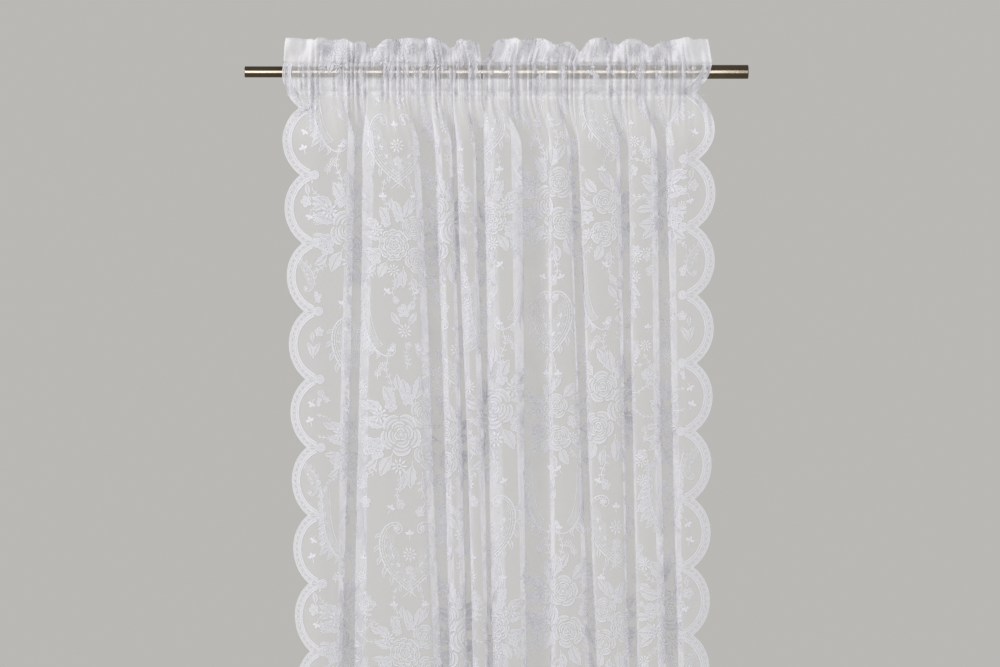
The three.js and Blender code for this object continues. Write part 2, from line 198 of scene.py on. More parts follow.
def fold_controls(panel, z):
    """Corners of the folds' section: an array of heights by points by X and Y."""
    share = table_share(z)
    draws = np.random.default_rng(panel.seed)
    edge_row = 0 if panel.side < 0 else len(panel.folds) - 1
    points = []
    for row, fold in enumerate(panel.folds):
        size, length, start = [draws.uniform(*limits) for limits in SWAY_LIMITS]
        sway = size * np.sin(z / length + start)
        left = blend(fold.top_left, fold.low_left, share) + sway
        right = blend(fold.top_right, fold.low_right, share) + sway
        sign = 1 if fold.turn == "back" else -1
        depth = sign * fold.depth * (1 + 0.07 * np.sin(z / (length * 0.8) + 2 * start))
        if row != edge_row:
            shape = TURNED_SHAPE if fold.turn == "turned" else TURN_SHAPE
            points += [(blend(left, right, across), depth * out) for across, out in shape]
            continue
        edge, inner = (left, right) if panel.side < 0 else (right, left)
        strip_end = edge - panel.side * EDGE_STRIP
        curl = panel.edge_back * np.minimum(share, 1)
        outer = [(edge, depth * 0.94 + curl)]
        outer += [(blend(strip_end, inner, across), depth * out) for across, out in EDGE_SHAPE]
        points += outer if panel.side < 0 else outer[::-1]
    return np.stack([np.stack(np.broadcast_arrays(*p), axis=-1) for p in points], axis=1)


def even_curves(curves, count):
    """Each row's curve, at even steps of its length."""
    steps = np.linalg.norm(np.diff(curves, axis=1), axis=2)
    lengths = np.concatenate([np.zeros((len(curves), 1)), np.cumsum(steps, axis=1)], axis=1)
    share = np.linspace(0, 1, count)
    out = np.empty((len(curves), count, 2))
    for k, row in enumerate(curves):
        for axis in (0, 1):
            out[k, :, axis] = np.interp(share * lengths[k, -1], lengths[k], row[:, axis])
    return out


def rounded_folds(panel, z):
    """The folds' section with its corners rounded, at even steps of cloth."""
    curves = even_curves(fold_controls(panel, z), CURVE_STEPS)
    reach = int(ROUNDING * 3)
    kernel = np.exp(-0.5 * (np.arange(-reach, reach + 1) / ROUNDING) ** 2)
    kernel /= kernel.sum()
    before = 2 * curves[:, :1] - curves[:, reach:0:-1]
    after = 2 * curves[:, -1:] - curves[:, -2 : -reach - 2 : -1]
    padded = np.concatenate([before, curves, after], axis=1)
    smooth = np.zeros_like(curves)
    for k, weight in enumerate(kernel):
        smooth += weight * padded[:, k : k + CURVE_STEPS]
    return even_curves(smooth, CURVE_STEPS)


def wave(count, share, start=0):
    """A wave from -1 to 1, so many times over the whole share."""
    return np.sin(2 * np.pi * count * share + start)


def gather_wave(panel, u):
    """Small gathers on the rod, from -1 to 1, uneven in pitch and depth."""
    share = u / PANEL_WIDTH
    start = panel.seed
    turns = GATHER_COUNT * share + 0.35 * wave(4.3, share, start)
    turns += 0.2 * wave(11.7, share, 2 * start)
    size = 0.66 + 0.34 * wave(5.1, share, start)
    fine_turns = CRINKLE_COUNT * share + 0.5 * wave(7.3, share, start)
    return (1 - CRINKLE_SHARE) * size * wave(1, turns) + CRINKLE_SHARE * wave(1, fine_turns)


def crease_wave(panel, u):
    """Wider creases that run down from the pocket."""
    share = u / PANEL_WIDTH
    return wave(1, CREASE_COUNT * share + 0.3 * wave(3.1, share, panel.seed))


def frill_wave(panel, share):
    """The frill's large waves, from -1 to 1, along the rod."""
    start = 0.4 if panel.side < 0 else 1.3
    return np.sin(share * FRILL_WAVES * 2 * np.pi + start + 0.9 * np.sin(share * 9))


def frill_top(panel, x):
    """Height of the frill's edge, which sinks where it leans over and ripples a little."""
    fall = sum(d.fall * np.exp(-(((x - d.x) / d.width) ** 2)) for d in panel.dips)
    ripple = np.sin(x / 6.1 + panel.seed) + np.sin(x / 10.7)
    return HEADER_TOP - fall + RIPPLE_HEIGHT * (ripple - 2)


def tunnel_stand(z):
    """How far the pocket's layers stand off its middle: round the rod, then down to the seam."""
    end = np.where(z > 0, HEADER_SEAM, -POCKET_SEAM)
    share = np.clip(np.abs(z) / end, 0, 1)
    half = TUNNEL_HALF * (1 - share**TUNNEL_POWER) ** np.where(z > 0, 0.5, 1)
    flatten = np.where(z > 0, FLATTEN_UPPER, FLATTEN_LOWER)
    return half + GATHER_DEPTH / 2 * smooth_step((1 - share) * end / flatten)


def rod_share(panel, share):
    """How far along the rod each part of the cloth sits, near the fold it feeds."""
    folds = rounded_folds(panel, np.array([FOLDS_OPEN]))[0, :, 0]
    reach = 3 * FEED_SPREAD
    kernel = np.exp(-0.5 * (np.arange(-reach, reach + 1) / FEED_SPREAD) ** 2)
    padded = np.pad(folds, reach, mode="reflect", reflect_type="odd")
    fed = np.diff(np.convolve(padded, kernel / kernel.sum(), mode="valid"))
    steps = np.maximum(fed, FEED_LEAST * fed.mean())
    along = np.concatenate([[0], np.cumsum(steps)])
    return np.interp(share, np.linspace(0, 1, CURVE_STEPS), along / along[-1])


def cloth_surface(panel, z, u, layer):
    """Points of the front layer, -1, or of the layer turned over behind the rod, 1, at heights z
    (rows) and flat places u across it (rows by columns)."""
    share = u / PANEL_WIDTH
    height = z[:, None] + 0 * u
    along = rod_share(panel, share)
    gather = gather_wave(panel, along * PANEL_WIDTH)
    x = blend(panel.pocket[0], panel.pocket[1], along)
    y = -GATHER_DEPTH / 2 * gather

    frill = np.clip((height - HEADER_SEAM) / (HEADER_TOP - HEADER_SEAM), 0, 1)
    top_x = blend(panel.header[0], panel.header[1], along)
    rise = smooth_step(frill * 1.2)
    wave_y = -FRILL_DEPTH * frill_wave(panel, along)
    wave_y = wave_y - FRILL_GATHER * (1 - GATHER_LOST * frill) * gather
    frill_y = blend(y, wave_y, rise) + layer * LAYER_GAP / 2
    lean = FRILL_LEAN * rise * np.cos(along * FRILL_WAVES * 2 * np.pi)
    frill_x = blend(x, top_x, frill) - lean
    frill_z = blend(HEADER_SEAM, frill_top(panel, top_x), frill)

    pocket_y = y + layer * np.maximum(tunnel_stand(height), LAYER_GAP / 2)

    folds = rounded_folds(panel, z)
    even = np.linspace(0, 1, CURVE_STEPS)
    fold_x, fold_y = [
        np.stack([np.interp(s, even, f[:, axis]) for s, f in zip(share, folds)]) for axis in (0, 1)
    ]
    opened = smooth_step((POCKET_SEAM - height) / (POCKET_SEAM - FOLDS_OPEN))
    late = 1 - smooth_step((POCKET_SEAM - height) / (POCKET_SEAM - CREASES_END))
    crease = CREASE_DEPTH * late * opened * crease_wave(panel, u)
    drop_x = blend(x, fold_x, opened)
    drop_y = blend(y, fold_y, opened) + crease
    drop_y += layer * LAYER_GAP / 2 * (1 - opened)

    above, below = height >= HEADER_SEAM, height <= POCKET_SEAM
    return np.stack([
        np.where(above, frill_x, np.where(below, drop_x, x)),
        np.where(above, frill_y, np.where(below, drop_y, pocket_y)),
        np.where(above, frill_z, height),
    ], axis=-1)


def scallop_inset(panel, z):
    """How far the scalloped edge lies inside the line of its outermost points."""
    along = np.mod(panel.first_notch - z, SCALLOP_PITCH) - SCALLOP_PITCH / 2
    inset = SCALLOP_RADIUS - np.sqrt(SCALLOP_RADIUS**2 - along**2)
    return np.where(z > HEADER_SEAM, 0, inset)


def cloth_columns(panel, z):
    """Flat places of the mesh's columns, inside the scalloped outline."""
    even = np.linspace(0, 1, COLUMNS)
    inset = scallop_inset(panel, z)[:, None]
    if panel.side < 0:
        return inset + (PANEL_WIDTH - inset) * even
    return (PANEL_WIDTH - inset) * even


def drop_heights(panel):
    """Heights of the mesh's rows from hem to seam, with one at each notch."""
    step = SCALLOP_PITCH / ROWS_PER_SCALLOP
    count = int((panel.first_notch - HEM) / step)
    heights = panel.first_notch - step * np.arange(-3, count + 1)
    heights = heights[(heights < POCKET_SEAM - step / 3) & (heights > HEM + step / 3)]
    return np.concatenate([[HEM], heights[::-1], [POCKET_SEAM]])


def grid_faces(rows, columns):
    """Four-sided faces between a grid's points."""
    first = (np.arange(rows - 1)[:, None] * columns + np.arange(columns - 1)).ravel()
    return np.stack([first, first + 1, first + columns + 1, first + columns], axis=1)


def new_object(name, data):
    obj = bpy.data.objects.new(name, data)
    bpy.context.scene.collection.objects.link(obj)
    return obj


def make_object(name, points, faces, flat, materials, face_materials=None):
    """A mesh object from points and faces, with each point's flat place as its UV map."""
    mesh = bpy.data.meshes.new(name)
    mesh.from_pydata((points * MM).tolist(), [], faces.tolist())
    layer = mesh.uv_layers.new(name="flat_cloth")
    corners = np.empty(len(mesh.loops), dtype=np.int32)
    mesh.loops.foreach_get("vertex_index", corners)
    layer.data.foreach_set("uv", (flat[corners] * MM).astype(np.float32).ravel())
    for material in materials:
        mesh.materials.append(material)
    if face_materials is not None:
        mesh.polygons.foreach_set("material_index", np.asarray(face_materials, dtype=np.int32))
    mesh.polygons.foreach_set("use_smooth", np.full(len(mesh.polygons), True))
    mesh.update()
    return new_object(name, mesh)


def joined(motifs, step=0.0):
    """One motif made of several, each lying a step over the one before."""
    firsts = np.cumsum([0] + [len(m.points) for m in motifs[:-1]])
    return Motif(
        np.concatenate([m.points + (0, 0, step * k) for k, m in enumerate(motifs)]),
        np.concatenate([m.faces + first for m, first in zip(motifs, firsts)]),
        np.concatenate([m.kinds for m in motifs]),
    )


def placed(motif, x=0, y=0, turn=0, size=1, flip=False):
    """The motif mirrored, sized, turned by degrees and moved on the flat cloth."""
    angle = math.radians(turn)
    c, s = math.cos(angle), math.sin(angle)
    points = motif.points * (-size if flip else size, size, 1)
    spin = np.array([[c, s, 0], [-s, c, 0], [0, 0, 1]])
    return Motif(points @ spin + (x, y, 0), motif.faces, motif.kinds)


def all_placed(rows):
    """Motifs placed by rows of a motif, its place, turn, size and flip."""
    return [placed(motif, *how) for motif, *how in rows]


def flat_motif(points, faces, kind):
    """A motif of one kind of stitch."""
    points = np.asarray(points, dtype=float)
    points = np.column_stack([points, np.full(len(points), KIND_LIFT[kind])])
    return Motif(points, np.asarray(faces), np.full(len(faces), kind))


def raised(motif, steps):
    """The motif lifted further off the cloth."""
    return Motif(motif.points + (0, 0, steps * OVERLAP_LIFT), motif.faces, motif.kinds)


def mirrored(motif):
    """The motif and its mirror image across the line x = 0."""
    return joined([motif, placed(motif, flip=True)])


def strip(left, right, kind):
    """A band of stitches between two lines of equally many points."""
    n = len(left)
    k = np.arange(n - 1)
    upper = np.stack([k, k + 1, n + k + 1], axis=1)
    lower = np.stack([k, n + k + 1, n + k], axis=1)
    return flat_motif(np.concatenate([left, right]), np.concatenate([upper, lower]), kind)


def patches(corners, kind):
    """Four-sided stitches, from lists of their first to fourth corners."""
    n = len(corners[0])
    k = np.arange(n)
    faces = [np.stack([k, k + n, k + 2 * n], axis=1), np.stack([k, k + 2 * n, k + 3 * n], axis=1)]
    return flat_motif(np.concatenate(corners), np.concatenate(faces), kind)


def path_offset(path, distance):
    """The path moved aside, by one distance or a distance for each point."""
    along = np.gradient(path, axis=0)
    along /= np.linalg.norm(along, axis=1)[:, None]
    aside = np.stack([-along[:, 1], along[:, 0]], axis=1)
    return path + aside * np.broadcast_to(distance, len(path))[:, None]


def heading_of(path):
    """Each point's heading along a path, in degrees from straight up."""
    along = np.gradient(path, axis=0)
    return np.degrees(np.arctan2(along[:, 1], along[:, 0])) - 90


def cord(path, width, kind=CORD):
    """A thread along a path, with one width or a width for each point."""
    path = np.asarray(path, dtype=float)
    half = np.asarray(width) / 2
    return strip(path_offset(path, half), path_offset(path, -half), kind)


def curve(controls, count):
    """A smooth path through a few points."""
    p = np.asarray(controls, dtype=float)
    p = np.concatenate([[2 * p[0] - p[1]], p, [2 * p[-1] - p[-2]]])
    t = np.linspace(0, len(p) - 3 - 1e-9, count)
    k = t.astype(int)
    f = (t - k)[:, None]
    a, b, c, d = p[k], p[k + 1], p[k + 2], p[k + 3]
    bend = (2 * a - 5 * b + 4 * c - d) * f**2 + (3 * b - a - 3 * c + d) * f**3
    return 0.5 * (2 * b + (c - a) * f + bend)


def directions(angle):
    """Steps of length 1 at each angle."""
    return np.stack([np.cos(angle), np.sin(angle)], axis=1)


def scroll(length, bend, head, tail, count, curl):
    """A path whose bend, in radians, tightens towards its ends."""
    s = np.linspace(0, 1, count)
    rate = bend + head * np.exp(-s / curl) / curl + tail * np.exp((s - 1) / curl) / curl
    heading = np.cumsum(rate) / count
    path = np.cumsum(directions(heading), axis=0) * length / count
    middle = heading[count // 2]
    c, t = math.cos(math.pi / 2 - middle), math.sin(math.pi / 2 - middle)
    return (path - path[count // 2]) @ np.array([[c, t], [-t, c]])


def ring_of(count):
    """Points round a circle of radius 1."""
    return directions(np.arange(count) * 2 * np.pi / count)


def disc(radius, kind, sides):
    """A filled round."""
    rim = ring_of(sides) * radius
    k = np.arange(sides)
    faces = np.stack([k, (k + 1) % sides, np.full(sides, sides)], axis=1)
    return flat_motif(np.concatenate([rim, [(0, 0)]]), faces, kind)


def hoop(radius, width, sides):
    """A closed round of cord."""
    rim = np.concatenate([ring_of(sides), ring_of(sides)[:1]])
    return strip(rim * (radius - width / 2), rim * (radius + width / 2), CORD)


def leaflet(length, width, kind=CLOTH_STITCH):
    """A small solid leaf from the origin upwards."""
    points = [(0, 0), (width * 0.42, length * 0.3), (width * 0.4, length * 0.62), (0, length),
              (-width * 0.4, length * 0.62), (-width * 0.42, length * 0.3)]
    return flat_motif(points, [(0, 1, 5), (1, 2, 4), (1, 4, 5), (2, 3, 4)], kind)


def leaf(length, width, bend=0.0, teeth=0.2):
    """A leaf with an open midrib, toothed halves of cloth stitch and corded rims."""
    t = np.linspace(0, 1, 9)
    middle = np.stack([bend * np.sin(np.pi * t), length * t], axis=1)
    half = width / 2 * np.sin(np.pi * t**0.85) * (1 - teeth * (np.arange(9) % 2))
    parts = []
    for side in (-1, 1):
        inner = middle + np.stack([side * np.minimum(half, 0.8), 0 * t], axis=1)
        outer = middle + np.stack([side * np.maximum(half, 0.85), 0.12 * half], axis=1)
        parts += [strip(inner, outer, CLOTH_STITCH), cord(outer, 1.0)]
    stem = cord([(0, -length * 0.25), (0, 0)], 1.1)
    return joined(parts + [stem])


def petal_ring(count, inner, outer, start):
    """Petals of two bands of cloth stitch with a corded edge."""
    parts = []
    share = np.linspace(0, 1, 7)
    swell = (0.5 + 0.5 * np.sin(np.pi * share) ** 0.6)[:, None]
    for k in range(count):
        around = directions(start + (k + 0.05 + 0.9 * share) * 2 * np.pi / count)
        fold = inner + (outer - inner) * 0.5 * swell
        rim = inner + (outer - inner) * swell
        parts.append(strip(around * inner, around * (fold - 0.7), CLOTH_STITCH))
        parts.append(strip(around * (fold + 0.7), around * rim, CLOTH_STITCH))
        parts.append(cord(around * rim, 1.4))
    return parts


def rose():
    """A rose of three rounds of petals."""
    parts = petal_ring(3, 2.6, 8, 0.3) + petal_ring(4, 9.8, 16, 0.9)
    return joined(parts + petal_ring(5, 17.8, 26.4, 0.2) + [disc(1.7, CORD, 8)])


def peony():
    """A rounder flower of many short petals."""
    parts = petal_ring(5, 4.2, 10, 0.1) + petal_ring(8, 11, 18, 0.5) + petal_ring(11, 19, 25, 0)
    return joined(parts + [hoop(2.6, 1.2, 10)])


def daisy(radius=12.0):
    """A spiky flower with an open eye."""
    petals = 9
    tips = ring_of(petals) * radius
    across = np.stack([-tips[:, 1], tips[:, 0]], axis=1) * 0.13
    points = [tips * 0.3, tips * 0.66 + across, tips, tips * 0.66 - across]
    k = np.arange(petals)
    faces = [np.stack([k, k + petals, k + 3 * petals], axis=1),
             np.stack([k + petals, k + 2 * petals, k + 3 * petals], axis=1)]
    star = flat_motif(np.concatenate(points), np.concatenate(faces), CORD)
    return joined([star, hoop(radius * 0.24, 1.3, 10)])


def blossom(radius=10.0):
    """A small flower of five round petals."""
    parts = [hoop(radius * 0.2, 1.1, 8)]
    petal = joined([disc(radius * 0.34, CLOTH_STITCH, 8), hoop(radius * 0.34, 0.9, 8)])
    for turn in range(0, 360, 72):
        parts.append(placed(placed(petal, 0, radius * 0.62), turn=turn))
    return joined(parts)


def bud():
    """A closed flower between two sepals."""
    length = 14.0
    sepal = leaflet(length * 0.7, 3)
    return joined([leaflet(length, length * 0.6), placed(sepal, -1.5, -2, 32),
                   placed(sepal, 1.5, -2, -32), cord([(0, -6), (0, 1)], 1.2)])


def trefoil():
    """Three small leaves on a stem."""
    parts = [placed(leaflet(7.5, 5, CORD), 0, 0, turn) for turn in (-70, 0, 70)]
    return joined(parts + [cord([(0, 0), (0.6, -4), (-0.4, -8)], 1.0)])


def spray(controls, size=9.0, pairs=5, tip=bud):
    """A curved stem with leaflets and a flower at its tip."""
    stem = curve(controls, 13)
    heading = heading_of(stem)
    parts = [cord(stem, 1.2)]
    for k in range(pairs):
        at = 2 + k * 2
        grow = size * (1 - 0.1 * k)
        for turn in (-52, 52):
            parts.append(placed(leaflet(grow, grow * 0.5), *stem[at], heading[at] + turn))
    parts.append(placed(tip(), *stem[-1], heading[-1], 0.7))
    return joined(parts)


def inside(outline, points):
    """Which points lie inside a closed outline."""
    x, y = points[:, None, 0], points[:, None, 1]
    a, b = outline, np.roll(outline, -1, axis=0)
    crossing = (a[:, 1] > y) != (b[:, 1] > y)
    rise = np.where(a[:, 1] == b[:, 1], 1, b[:, 1] - a[:, 1])
    reach = a[:, 0] + (y - a[:, 1]) * (b[:, 0] - a[:, 0]) / rise
    return (crossing & (x < reach)).sum(axis=1) % 2 == 1


def lattice(outline, pitch, width):
    """Crossed threads that fill an outline."""
    low, high = outline.min(axis=0) - pitch, outline.max(axis=0) + pitch
    grid = np.stack(np.meshgrid(*[np.arange(a, b, pitch) for a, b in zip(low, high)]), axis=-1)
    crossings = grid.reshape(-1, 2)
    parts = []
    for step in ((pitch, pitch), (pitch, -pitch)):
        ends = crossings + step
        kept = inside(outline, crossings) & inside(outline, ends)
        a, b = crossings[kept], ends[kept]
        aside = np.array([-step[1], step[0]]) / np.hypot(*step) * width / 2
        parts.append(patches([a + aside, b + aside, b - aside, a - aside], LATTICE))
    return joined(parts)


def paisley():
    """A bent drop with a curl, a double rim, ribs, a leafy fringe and a netted hollow."""
    spine = scroll(226, 2.3, 7.8, -0.5, 56, 0.12)
    heading = heading_of(spine)
    width = 1.0 + 1.6 * np.sin(np.pi * np.linspace(0, 1, 56)) ** 0.7
    hollow = np.concatenate([path_offset(spine, 10)[17:-4], [(-26, -38)]])
    parts = [lattice(hollow, 5.2, 0.7), cord(spine, width)]
    parts += [cord(path_offset(spine, 5)[11:-3], 1.1), cord(path_offset(spine, 9)[17:-6], 0.9)]
    for k in range(12, 52, 2):
        parts.append(cord([spine[k], path_offset(spine, 5)[k + 1]], 1.3, CLOTH_STITCH))
    for k in range(20, 50, 5):
        size = 19 - abs(k - 34) * 0.4
        parts.append(placed(leaf(size, size * 0.42, 1, 0), *spine[k], heading[k] - 42))
        parts.append(placed(leaflet(size * 0.5, 4.0), *path_offset(spine, 9)[k], heading[k] + 55))
    for k in (26, 32, 38):
        parts.append(placed(trefoil(), *path_offset(spine, 20)[k], heading[k] + 90, 0.8))
    parts.append(placed(blossom(7), *spine[0]))
    return joined(parts, OVERLAP_LIFT / 2)


def acanthus():
    """A plume of open lobes along a curved spine, with a curl and a netted back."""
    spine = scroll(196, 1.0, 4.4, -0.7, 46, 0.12)[::-1]
    heading = heading_of(spine)
    net = np.concatenate([spine[4:34], path_offset(spine, -15)[34:4:-1]])
    parts = [lattice(net, 4.6, 0.7), cord(path_offset(spine, -15)[5:34], 1.0)]
    for k, size in zip(range(4, 34, 4), (17, 30, 40, 45, 43, 36, 27, 18)):
        parts.append(placed(leaf(size, size * 0.4, 5, 0.14), *spine[k], heading[k] + 38))
        parts.append(placed(leaf(size * 0.45, size * 0.2, 1, 0), *spine[k + 2], heading[k] + 58))
    parts.append(cord(path_offset(spine, 2.8)[3:-10], 1.0))
    parts.append(cord(spine, 1.0 + 1.5 * np.sin(np.pi * np.linspace(0, 1, 46))))
    parts.append(placed(blossom(6), *spine[-1]))
    return joined(parts, OVERLAP_LIFT / 2)


def bouquet(flower, scale):
    """Roses and small flowers among leaves, with sprays above, below and beside."""
    broad, small = leaf(32, 19, 2), leaf(23, 12, -1.5)
    rising = spray([(0, 0), (7, 18), (4, 38), (12, 56)])
    falling = spray([(0, 0), (-6, 15), (-3, 32), (-12, 46)], 8.5, 5, blossom)
    parts = all_placed([
        (rising, -26, 56, 14), (rising, 26, 60, -8, 0.95, True), (rising, -54, 14, 76, 0.8),
        (rising, 62, 4, -80, 0.8, True), (falling, -16, -52, 168),
        (falling, 22, -58, 188, 1.1, True), (falling, -50, -40, 128, 0.85),
        (falling, 54, -44, 226, 0.8, True), (rising, 52, 44, -46, 0.7),
        (rising, -46, 46, 52, 0.7, True),
    ])
    for place in [(-38, 14, 75), (-36, -8, 112), (-28, -30, 150), (4, -44, 176), (36, -46, 205),
                  (54, -24, 262), (50, 24, -72), (42, 50, -38), (12, 54, -12), (-24, 42, 24),
                  (-40, 30, 50), (-4, 50, 6)]:
        parts.append(placed(broad, *place))
    for place in [(-52, -6, 92), (-50, -34, 128), (20, -58, 190), (62, -36, 235), (62, 30, -60),
                  (26, 66, -26), (-12, 66, 8), (-56, 40, 62), (-8, -56, 165), (66, -6, -96)]:
        parts.append(placed(small, *place))
    parts += all_placed([
        (blossom(), -50, -22, 15, 1.3), (daisy(), -44, 30, 0, 1.15), (blossom(), 60, 4, 40, 1.25),
        (daisy(), -16, -44, 0, 1.1), (blossom(), 0, 54, 0, 1.1), (blossom(), -26, 44, 30),
        (daisy(), 58, -26), (rose(), 26, 32, 250, 0.86), (rose(), 31, -26, 140, 0.9),
        (flower, -13, 2, 10, 1.16),
    ])
    return placed(joined(parts, OVERLAP_LIFT), size=scale)


def flower_column():
    """The bouquets of one column of the lace's repeat, about its middle line."""
    bouquets = [(bouquet(rose(), 1.24), 0, 112), (bouquet(peony(), 0.98), 0, 452)]
    return joined(all_placed(bouquets), OVERLAP_LIFT)


def scroll_column():
    """The scrolls, plumes and small flowers between the bouquets of one column."""
    drop, plume = paisley(), acanthus()
    single = spray([(0, 0), (4, 14), (0, 28), (5, 42)], 9, 4, blossom)
    branch = spray([(0, 0), (10, 16), (12, 36), (2, 56)], 12, 5)
    short = spray([(0, 0), (5, 12), (2, 26)], 9, 4, daisy)
    star, posy, tuft = daisy(), blossom(), trefoil()
    parts = [mirrored(placed(plume, 74, 306, -14))]
    parts += all_placed([
        (single, 0, 232), (star, 0, 300, 0, 1.2), (posy, 0, 336, 0, 1.3),
        (leaf(26, 13, 1), 9, 312, -34), (leaf(26, 13, -1), -9, 312, 34),
    ])
    parts.append(mirrored(placed(drop, 55, 636, 170, 1, True)))
    parts += all_placed([
        (single, 0, 556, 0, 0.9), (star, 0, 632, 0, 1.2), (tuft, 0, 668, 0, 1.3),
        (posy, 0, 604, 0, 0.9),
    ])
    parts += map(mirrored, all_placed([
        (star, 112, 18), (star, 114, 226, 20), (posy, 92, 206, -15), (star, 112, 392),
        (tuft, 30, 540, 0, 1.2), (posy, 88, 540, 0, 1.1), (star, 114, 716),
        (tuft, 36, 714, 25, 1.2), (posy, 84, 726, 0, 1.1), (tuft, 28, 264, 0, 1.1),
        (tuft, 30, 370, 40, 1.2), (tuft, 118, 258, 0, 1.1), (posy, 92, 396, 30, 1.1),
        (star, 118, 566, 0, 1.1), (posy, 116, 668, 15), (branch, 118, 148, 4),
        (branch, 118, 436, 8), (short, 100, 574, -20, 0.9), (short, 56, 214, 30),
        (short, 60, 540, -48, 0.9), (short, 116, 52, 0, 0.9),
    ]))
    return joined(parts, OVERLAP_LIFT / 3)


def ground_design(panel, column):
    """A column of thread work repeated over the panel inside its border."""
    first, last = BORDER_WIDTH + FIRST_COLUMN, PANEL_WIDTH + COLUMN_OVERHANG
    parts = []
    for k, middle in enumerate(np.arange(first, last, COLUMN_PITCH)):
        drop = -LACE_REPEAT * (FIRST_DROP + DROP_STEP * (k % 2)) + SIDE_SHIFT * panel.side
        while drop < FLAT_LENGTH:
            parts.append(placed(column, middle, drop, flip=k == MIRRORED_COLUMN))
            drop += LACE_REPEAT
    ground = joined(parts)
    x, y = ground.points[:, 0], ground.points[:, 1]
    good = (x > BORDER_WIDTH - BORDER_OVERLAP) & (x < PANEL_WIDTH - EDGE_MARGIN)
    good &= (y > HEM_MARGIN) & (y < FLAT_LENGTH - EDGE_MARGIN)
    return kept_part(ground, good, panel)


def kept_part(motif, good, panel):
    """The faces whose points are all good, mirrored for the right panel."""
    points = motif.points
    if panel.side > 0:
        points = points * (-1, 1, 1) + (PANEL_WIDTH, 0, 0)
    kept = good[motif.faces].all(axis=1)
    return Motif(points, motif.faces[kept], motif.kinds[kept])


def arc_points(middle, radius, angle):
    """Points round an arc that bulges to the left."""
    return np.stack([middle - radius * np.cos(angle), radius * np.sin(angle)], axis=1)


def edge_line(inset, reach_share=1.0):
    """A line at a depth inside one scallop's edge, or a share of that line."""
    radius = SCALLOP_RADIUS - inset
    reach = math.asin(min(1, SCALLOP_PITCH / 2 / radius)) * reach_share
    return arc_points(SCALLOP_RADIUS, radius, np.linspace(-reach, reach, BAND_STEPS))


def eyelet_band(inner, outer):
    """A row of round eyelets between two lines inside the scallop's edge."""
    parts = []
    edges = np.linspace(-1, 1, EYELET_COUNT + 1)
    sides = ring_of(12)
    box = sides / np.abs(sides).max(axis=1)[:, None]
    for low, high in zip(edges[:-1], edges[1:]):
        rows = []
        for shape in (box, sides * EYELET_HOLE):
            depth = blend(inner, outer, (shape[:, 1] + 1) / 2)
            share = blend(low, high, (shape[:, 0] + 1) / 2)
            radius = SCALLOP_RADIUS - depth
            angle = np.arcsin(np.minimum(1, SCALLOP_PITCH / 2 / radius)) * share
            rows.append(arc_points(SCALLOP_RADIUS, radius, angle))
        closed = [np.concatenate([row, row[:1]]) for row in rows]
        parts.append(strip(*closed, CLOTH_STITCH))
    return parts


def scallop_design(filling):
    """One scallop's border: rim, eyelets, ribbon, arc and the knot at its notch."""
    parts = [
        filling,
        strip(edge_line(RIM[0]), edge_line(RIM[1]), CLOTH_STITCH),
        strip(edge_line(RIM[0]), edge_line(RIM[0] + 1.2), CORD),
        strip(edge_line(RIBBON[0]), edge_line(RIBBON[1], 0.97), CLOTH_STITCH),
        strip(edge_line(RIBBON[1] - 0.8, 0.97), edge_line(RIBBON[1], 0.97), CORD),
        *eyelet_band(*EYELETS),
    ]
    fall = ARC_END - ARC_TOP
    radius = (ARC_HALF**2 + fall**2) / (2 * fall)
    angle = np.linspace(-1, 1, BAND_STEPS) * math.asin(ARC_HALF / radius)
    arc = arc_points(ARC_TOP + radius, radius, angle)
    parts += [strip(edge_line(RIBBON[1], 0.9), arc, CLOTH_STITCH), cord(arc, 1.7)]
    knot = joined([disc(KNOT_SIZE, CLOTH_STITCH, 14), hoop(KNOT_SIZE, 1.2, 14),
                   hoop(KNOT_SIZE * 0.55, 0.9, 10)])
    parts.append(placed(knot, KNOT_INSET, -SCALLOP_PITCH / 2))
    return joined(parts, OVERLAP_LIFT / 2)


def border_design(panel):
    """Thread work along the scalloped edge."""
    posy = joined(all_placed([
        (blossom(), 42, 14, 20, 1.1), (trefoil(), 48, -12, 160, 1.2), (leaf(22, 11, 1), 54, 0, -70),
        (leaf(20, 10, 1), 46, 26, 10), (daisy(9), 62, -22),
    ]))
    curl = placed(paisley(), 52, 2, 14, 0.5)
    spike = joined(all_placed([
        (leaf(24, 11, 2), 46, -18, 20), (leaf(24, 11, -2), 50, -18, -28), (leaf(16, 8), 47, 8),
        (blossom(), 60, 24, 0, 0.9),
    ]))
    twig = joined(all_placed([(trefoil(), 40, -14, 20, 1.3), (trefoil(), 44, 18, 150, 1.2)]))
    scallops = [scallop_design(f) for f in (curl, twig, posy, curl, spike, twig)]
    parts = []
    top = panel.first_notch + SCALLOP_PITCH / 2 - HEM
    for k in range(int(top / SCALLOP_PITCH) + 1):
        parts.append(placed(scallops[k % len(scallops)], 0, top - k * SCALLOP_PITCH))
    band = joined(parts)
    x, y = band.points[:, 0], band.points[:, 1]
    good = (x > scallop_inset(panel, y + HEM)) & (y > BORDER_HEM_MARGIN)
    good &= y < HEADER_SEAM - HEM
    return kept_part(raised(band, BORDER_OVER), good, panel)


def seam_design(height):
    """A row of machine stitches across the flat cloth."""
    starts = np.arange(3, PANEL_WIDTH - 4, STITCH_PITCH)
    length, half = STITCH_LENGTH, STITCH_WIDTH / 2
    corners = [(0, -half), (length, -half), (length, half), (0, half)]
    lines = [np.stack([starts + x, height + y + 0 * starts], axis=1) for x, y in corners]
    return patches(lines, CORD)


